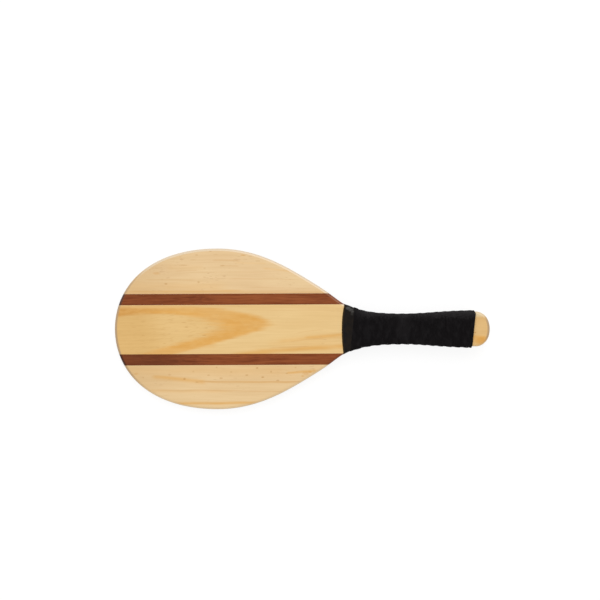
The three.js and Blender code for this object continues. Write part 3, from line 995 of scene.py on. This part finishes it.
UPPER_GLOW = (
    (-46, -6, 67.9, 64.2, 0.0, 1.0, 1.0, 0.35),
    (-204, -60, 41.8, 42.4, 0.0, 1.4, 1.0, 0.5),
    (-250, -76, 47.6, 46.2, 0.0, 7.0, 5.0, 0.26),
    (-154, -108, 69.6, 68.6, 0.0, 2.6, 3.6, 0.13),
    (-78, -38, 74.4, 73.4, 0.0, 0.9, 1.0, 0.22),
)
LOWER_LINES = (
    (-124, 12, -58.9, -58.7, -0.5, 0.5, 0.6, 0.55),
    (-176, -2, -68.0, -69.9, -0.4, 0.6, 0.8, 0.38),
    (-60, 30, -50.2, -48.8, 0.4, 0.4, 0.5, 0.2),
)
LOWER_GLOW = (
    (-260, 6, -46.4, -46.0, 0.0, 5.0, 6.5, 0.26),
    (-172, -104, -52.6, -59.8, 0.2, 2.2, 2.8, 0.75),
    (-154, -110, -55.2, -59.0, 0.2, 1.4, 2.0, 0.7),
    (-136, 2, -59.0, -59.2, -0.3, 1.2, 1.2, 0.4),
    (-210, -72, -69.0, -70.0, 0.0, 1.6, 2.2, 0.26),
    (-150, -34, -83.3, -82.5, -0.3, 1.5, 1.3, 0.8),
    (-20, 18, -49.0, -46.4, -0.4, 1.4, 1.4, 0.75),
)
LOWER_SPOTS = (
    (-131.8, -56.0, 1.5, 1.4, 0.5),
    (-148.6, -51.4, 1.9, 1.0, 0.3),
    (-117.9, -59.7, 2.2, 0.9, 0.3),
    (-104.9, -51.9, 1.7, 0.9, 0.34),
    (-90.7, -55.2, 2.2, 0.9, 0.4),
    (-121.9, -47.9, 1.4, 0.9, 0.26),
    (-95.8, -43.1, 1.3, 0.9, 0.3),
    (-79.5, -48.3, 1.4, 0.9, 0.28),
    (-50.5, -43.8, 1.8, 0.9, 0.56),
    (-34.8, -47.9, 1.0, 1.4, 0.44),
    (-62.1, -51.8, 2.2, 0.9, 0.42),
    (-44.2, -54.1, 1.8, 0.9, 0.6),
    (-27.3, -57.7, 2.0, 0.9, 0.45),
    (-7.5, -43.5, 1.4, 0.8, 0.32),
    (-17.4, -50.1, 1.6, 0.7, 0.36),
    (-178.2, -54.6, 1.1, 1.1, 0.36),
)
LOWER_KNOTS = (
    (0.6, -52.9, 2.0, 1.2, 0.34),
    (8.6, -48.2, 2.6, 1.4, 0.46),
    (4.4, -49.8, 4.6, 2.6, 0.3),
    (-186.0, -50.3, 2.6, 1.5, 0.28),
)
SCALE_GLOW = (
    (176, 222, -7.2, -10.6, 0.0, 1.8, 7.2, 1.0),
)
SCALE_SPOTS = (
    (193.6, -4.0, 1.3, 1.0, 0.6),
)
SCALE_KNOTS = (
    (200.0, -13.4, 6.5, 4.4, 0.44),
)


MAHOGANY_RELIEF = 0.08 * MM
MAHOGANY_RINGS = 4 * MM
MAHOGANY_JOINTS = (3.6 * MM, 6 * MM)  # from where to where it darkens, out from its middle
MAHOGANY_TIP = (-80 * MM, -170 * MM)  # and towards the tip
MAHOGANY_DARK = linear(110, 46, 8)
MAHOGANY_PALE = linear(150, 80, 38)
MAHOGANY_RIBBON = linear(154, 84, 44)
MAHOGANY_GRAIN = linear(98, 36, 6)
MAHOGANY_PORE = linear(86, 32, 8)
MAHOGANY_JOINT = linear(112, 54, 8)
MAHOGANY_SHADE = linear(92, 42, 12)
# A painted highlight for the upper rims.
MAHOGANY_PAINTED_HIGHLIGHT = linear(190, 150, 120)
MAHOGANY_END = linear(48, 26, 20)


def mahogany_finish(name, middle, seed, tip_shade):
    """Lacquered mahogany with short dark pores, darker along its joints, and a painted highlight on its
    upper rims. middle is the stripe's place across the boards."""
    material, g, shader, place, normal = start_material(
        name, 0.5, Specular_IOR_Level=0.1, Coat_Roughness=0.26, IOR=1.5,
    )
    x, y, z = g.split(place)
    fibres = g.group(fibres_group, {"Position": place, "Seed": seed, "Fleck Share": 0.36})
    ends = g.group(ends_group, {"Position": place, "Normal": normal, "Ring Width": MAHOGANY_RINGS})
    deep = g.total(z, seed)
    ribbon = g.rise(g.noise(g.join(g.times(x, 0.2), y, deep), 420.0, 2.0), 0.3, 0.72)
    grain = g.rise(g.noise(g.join(g.times(x, 0.07), y, deep), 760.0, 1.0), 0.46, 0.72)
    colour = g.mix(g.rise(fibres["Fibre"], 0.32, 0.68), MAHOGANY_DARK, MAHOGANY_PALE)
    colour = g.mix(g.times(ribbon, 0.34), colour, MAHOGANY_RIBBON)
    colour = g.mix(g.times(grain, 0.3), colour, MAHOGANY_GRAIN)
    colour = g.mix(g.times(fibres["Fleck"], 0.3), colour, MAHOGANY_PORE)
    off = g.math("ABSOLUTE", g.minus(across_boards(g, place), middle))
    colour = g.mix(g.times(g.rise(off, *MAHOGANY_JOINTS), 0.5), colour, MAHOGANY_JOINT)
    colour = g.mix(g.times(g.rise(x, *MAHOGANY_TIP), tip_shade), colour, MAHOGANY_SHADE)
    # A painted highlight on the rims that face up, strongest next to the face.
    upper_side = g.rise(g.split(normal)[1], -0.1, 0.1)
    paler = g.rise(ends["Turn"], 0.0, 1.0, 0.2, 0.04)
    colour = g.mix(g.times(ends["Rim"], upper_side, paler), colour, MAHOGANY_PAINTED_HIGHLIGHT)
    colour = g.mix(g.times(ends["Mask"], 0.75), colour, MAHOGANY_END)
    g.feed(shader["Base Color"], colour)
    g.feed(shader["Roughness"], g.rise(fibres["Fibre"], 0.3, 0.7, 0.54, 0.4))
    g.feed(shader["Coat Weight"], g.math("MULTIPLY_ADD", ends["Rim"], 0.36, 0.14))
    g.feed(shader["Normal"], bump(g, fibres["Height"], MAHOGANY_RELIEF))
    return material


NAP_RELIEF = 0.3 * MM
SUEDE_DARK = linear(17, 15, 16)
SUEDE_BRUSHED = linear(25, 23, 24)
# Painted sheen along the upper side, where the nap would catch the light, less at the neck; and single
# spots: rubbed nap in the middle of the tape and painted highlights near its upper edge.
SUEDE_WEAR_AND_SHEEN = linear(44, 42, 43)
PAINTED_SHEEN_SIDE = (8.5 * MM, 21.5 * MM)
PAINTED_SHEEN_NECK = (60 * MM, 74 * MM)
PAINTED_SHEEN_WAVER = 4 * MM
SUEDE_RUBS_AND_HIGHLIGHTS = (
    (113.0, 0.0, 9.0, 15.0, 0.22),
    (72.0, -3.0, 5.0, 9.0, 0.14),
    (115.0, 14.6, 4.0, 2.2, 0.35),
    (151.0, 14.4, 5.0, 2.6, 0.35),
    (169.0, 15.0, 4.0, 2.0, 0.3),
)


def suede_finish():
    """Black napped tape: brushed patches, a fine nap, a fuzz that catches the light, and a painted
    sheen along its upper side.
    """
    material, g, shader, place, normal = start_material(
        "suede", 0.9, Specular_IOR_Level=0.04, Sheen_Weight=0.035, Sheen_Roughness=0.45, IOR=1.45,
    )
    x, y, z = g.split(place)
    wound_place = g.vector("MULTIPLY", place, (1.0, 0.45, 0.45))
    brushed = g.rise(g.noise(wound_place, 210.0, 2.0, 0.55), 0.42, 0.72)
    mottle = g.rise(g.noise(place, 620.0, 2.0, 0.6), 0.35, 0.7)
    nap = g.noise(place, 2600.0, 2.0, 0.7)
    tufts = g.noise(place, 1100.0, 2.0, 0.6)
    colour = g.mix(brushed, SUEDE_DARK, SUEDE_BRUSHED)
    colour = g.mix(g.times(mottle, 0.4), colour, SUEDE_BRUSHED)
    # A painted sheen along the upper side, fainter at the neck.
    worn = g.rise(g.total(y, g.swing(mottle, PAINTED_SHEEN_WAVER)), *PAINTED_SHEEN_SIDE)
    colour = g.mix(g.times(worn, g.rise(x, *PAINTED_SHEEN_NECK, 0.3, 1.0)), colour, SUEDE_WEAR_AND_SHEEN)
    colour = g.mix(spots_mask(g, place, SUEDE_RUBS_AND_HIGHLIGHTS, cad_bounds[1].z), colour, SUEDE_WEAR_AND_SHEEN)
    shade = g.rise(nap, 0.3, 0.7, 0.75, 1.25)
    colour = g.mix(1.0, colour, g.join(shade, shade, shade), "MULTIPLY")
    height = g.total(g.times(nap, 0.5), g.times(tufts, 0.7), g.times(brushed, 0.5))
    g.feed(shader["Base Color"], colour)
    g.feed(shader["Roughness"], g.rise(brushed, 0.0, 1.0, 0.95, 0.8))
    g.feed(shader["Normal"], bump(g, height, NAP_RELIEF))
    return material


# The collar turns from a cool black to a warm one away from its head edge, where a line of glue shows.
VINYL_RELIEF = 0.07 * MM
VINYL_COOL = (linear(9, 8, 11), linear(19, 16, 15))
VINYL_WARM = (linear(15, 11, 9), linear(26, 19, 13))
VINYL_WARMS = (1 * MM, 7.5 * MM)
SMEAR_WAVER = 12 * MM
VINYL_GLUE = linear(44, 30, 6)
GLUE_FADES = (2.2 * MM, 0.6 * MM)
# A painted highlight on its upper shoulder, where it faces the light from above, as spots.
VINYL_PAINTED_HIGHLIGHT = linear(78, 77, 75)
COLLAR_HIGHLIGHT_LEVEL = 7.6 * MM
COLLAR_PAINTED_HIGHLIGHTS = (
    (51.6, 23.2, 3.4, 2.1, 0.85),
    (54.4, 21.4, 3.4, 2.1, 0.7),
    (56.6, 19.4, 2.4, 2.0, 0.8),
    (56.0, 17.0, 2.0, 2.6, 0.3),
)


def vinyl_finish():
    """Smooth black tape with a soft gloss, finger marks, a painted highlight on its upper shoulder, a faint
    stretch along it and glue along its edge."""
    material, g, shader, place, normal = start_material(
        "vinyl", 0.4, Specular_IOR_Level=0.12, IOR=1.45,
    )
    x, y, z = g.split(place)
    stretch = g.noise(g.join(x, g.times(y, 0.12), g.times(z, 0.12)), 900.0, 2.0)
    smear = g.noise(place, 130.0, 3.0, 0.6)
    smeared = g.rise(smear, 0.3, 0.7)
    peel = g.noise(place, 1500.0, 1.0)
    upper = g.math("GREATER_THAN", y, 0.0)
    bow = g.math("MULTIPLY_ADD", upper, COLLAR_BOW["upper"] - COLLAR_BOW["lower"], COLLAR_BOW["lower"])
    bow = g.times(y, y, bow, 1 / half_width(collar_middle) ** 2)
    from_edge = g.minus(g.minus(x, collar_edge + COLLAR_SLIP), bow)
    drawn = g.math("MULTIPLY_ADD", g.minus(smear, 0.5), SMEAR_WAVER, from_edge)
    cool = g.mix(smeared, *VINYL_COOL)
    warm = g.mix(smeared, *VINYL_WARM)
    colour = g.mix(g.rise(drawn, *VINYL_WARMS), cool, warm)
    # A painted highlight on the upper shoulder.
    colour = g.mix(spots_mask(g, place, COLLAR_PAINTED_HIGHLIGHTS, COLLAR_HIGHLIGHT_LEVEL), colour, VINYL_PAINTED_HIGHLIGHT)
    colour = g.mix(g.rise(from_edge, *GLUE_FADES), colour, VINYL_GLUE)
    g.feed(shader["Base Color"], colour)
    g.feed(shader["Roughness"], g.rise(smear, 0.3, 0.7, 0.3, 0.46))
    g.feed(shader["Normal"], bump(g, g.total(stretch, g.times(peel, 0.4)), VINYL_RELIEF))
    return material


def floor_finish():
    """A white floor: seen by the camera it glows a little, so that only a faint shadow stays. From
    beneath it is clear."""
    material = bpy.data.materials.new("floor")
    material.use_nodes = True
    g = Graph(material.node_tree)
    g.tree.nodes.remove(g.tree.nodes["Principled BSDF"])
    seen = g.node("LightPath").outputs["Is Camera Ray"]
    white = (1, 1, 1, 1)
    paint = g.mix(seen, (FLOOR_ALBEDO,) * 3 + (1,), (FLOOR_SEEN,) * 3 + (1,))
    diffuse = g.node("BsdfDiffuse", {"Color": paint}).outputs[0]
    glow = g.node("Emission", {"Color": white, "Strength": g.times(seen, FLOOR_GLOW)}).outputs[0]
    both = g.node("AddShader", {0: diffuse, 1: glow}).outputs[0]
    clear = g.node("BsdfTransparent").outputs[0]
    beneath = g.node("NewGeometry").outputs["Backfacing"]
    surface = g.node("MixShader", {0: beneath, 1: both, 2: clear}).outputs[0]
    g.feed(g.tree.nodes["Material Output"].inputs["Surface"], surface)
    return material


FLOOR_ALBEDO = 0.8
FLOOR_SEEN = 0.18
FLOOR_GLOW = 0.86

stave_pine = pine_finish(
    "stave pine", linear(234, 200, 141), linear(230, 194, 134), 1.3, fleck_share=0.2, ring_y=8,
    figure=cathedral, lines=STAVE_LINES, glow=STAVE_GLOW, spots=STAVE_SPOTS,
    dust=((stave_edge, 0.07), (-stave_edge, 0.1)),
)
upper_pine = pine_finish(
    "upper wing pine", linear(234, 203, 155), linear(229, 195, 147), 4.1, fleck_share=0.3, ring_y=30,
    lines=UPPER_LINES, glow=UPPER_GLOW, spots=UPPER_SPOTS, knots=UPPER_KNOTS,
    dust=((wing_from, 0.34),), tip_shade=0.32,
)
lower_pine = pine_finish(
    "lower wing pine", linear(232, 200, 151), linear(228, 194, 144), 7.9, fleck_share=0.24, ring_y=-90,
    lines=LOWER_LINES, glow=LOWER_GLOW, spots=LOWER_SPOTS, knots=LOWER_KNOTS, tip_shade=0.3,
)
scale_pine = pine_finish(
    "scale pine", linear(230, 193, 134), linear(220, 178, 116), 11.7, fleck_share=0.2, ring_y=4, ring_z=-40,
    level=handle_half, glow=SCALE_GLOW, spots=SCALE_SPOTS, knots=SCALE_KNOTS, upper_highlight=True, rim=0.35,
)
stripe_middle = (stripe_from + stripe_to) / 2
upper_mahogany = mahogany_finish("upper stripe mahogany", stripe_middle, 2.2, 0.12)
lower_mahogany = mahogany_finish("lower stripe mahogany", -stripe_middle, 5.6, 0.58)
suede = suede_finish()
vinyl = vinyl_finish()

board("centre_stave_wood", "centre_stave", -stave_edge, stave_edge, stave_pine)
board("upper_stripe_wood", "upper_stripe", stripe_from, stripe_to, upper_mahogany)
board("lower_stripe_wood", "lower_stripe", -stripe_to, -stripe_from, lower_mahogany)
board("upper_wing_wood", "upper_wing", wing_from, None, upper_pine)
board("lower_wing_wood", "lower_wing", None, -wing_from, lower_pine)
handle_scale("front_scale_wood", "front_scale", 1, scale_pine)
handle_scale("back_scale_wood", "back_scale", -1, scale_pine)
tape_steps = round((tape_to - tape_from) * LAP_STEPS)
collar_steps = round(COLLAR_TURNS * LAP_STEPS)
wound("grip_tape_winding", "grip_tape", suede, tape_steps, tape_section(), lay_tape)
wound("collar_tape_band", "collar_tape", vinyl, collar_steps, collar_section(), lay_collar)

# The floor touches the head's tip and the first full crest of the grip.
FLOOR_SIZE = 8.0
rest_tip = Vector((tip + EDGE_ROUND, 0, -blade_half))
rest_grip = Vector((ramp_start + RAMP_LENGTH, 0, cad_bounds[0].z))
FLOOR_SINK = 0.05 * MM
floor_mesh = bmesh.new()
bmesh.ops.create_grid(floor_mesh, x_segments=4, y_segments=4, size=FLOOR_SIZE / 2)
slope = math.atan2(rest_tip.z - rest_grip.z, rest_grip.x - rest_tip.x)
bmesh.ops.transform(
    floor_mesh, verts=floor_mesh.verts,
    matrix=Matrix.Translation(rest_grip - Vector((0, 0, FLOOR_SINK))) @ Matrix.Rotation(slope, 4, "Y"),
)
floor_data = bpy.data.meshes.new("floor")
floor_mesh.to_mesh(floor_data)
floor_mesh.free()
floor = bpy.data.objects.new("floor", floor_data)
bpy.context.scene.collection.objects.link(floor)
floor_data.materials.append(floor_finish())

camera_data = bpy.data.cameras.new("camera")
camera = bpy.data.objects.new("camera", camera_data)
bpy.context.scene.collection.objects.link(camera)
camera.location = CAMERA_PLACE
camera_data.lens = camera_data.sensor_width * (CAMERA_PLACE.z - blade_half) / PHOTO_WIDTH
camera_data.clip_end = CAMERA_REACH
bpy.context.scene.camera = camera

# The room's even light, and a wide window towards the upper edge of the photograph.
ROOM_SHARE = 0.73
WINDOW_SHARE = 0.27
WINDOW_HEIGHT = math.radians(52)
WINDOW_WIDTH = math.radians(50)
world = bpy.data.worlds.new("studio")
bpy.context.scene.world = world
world.use_nodes = True
room = Graph(world.node_tree)
rays = room.node("LightPath").outputs
seen = room.most([rays["Is Camera Ray"], rays["Is Glossy Ray"], rays["Is Transmission Ray"]])
strength = room.math("MULTIPLY_ADD", seen, 1 - ROOM_SHARE, ROOM_SHARE)
room.feed(world.node_tree.nodes["Background"].inputs["Strength"], strength)
world.node_tree.nodes["Background"].inputs["Color"].default_value = (1, 1, 1, 1)

window_data = bpy.data.lights.new("window", "SUN")
window_data.energy = WINDOW_SHARE * math.pi / math.sin(WINDOW_HEIGHT)
window_data.angle = WINDOW_WIDTH
window = bpy.data.objects.new("window", window_data)
window.rotation_euler = (WINDOW_HEIGHT - math.pi / 2, 0, 0)
bpy.context.scene.collection.objects.link(window)

bpy.context.scene.view_settings.view_transform = "Standard"
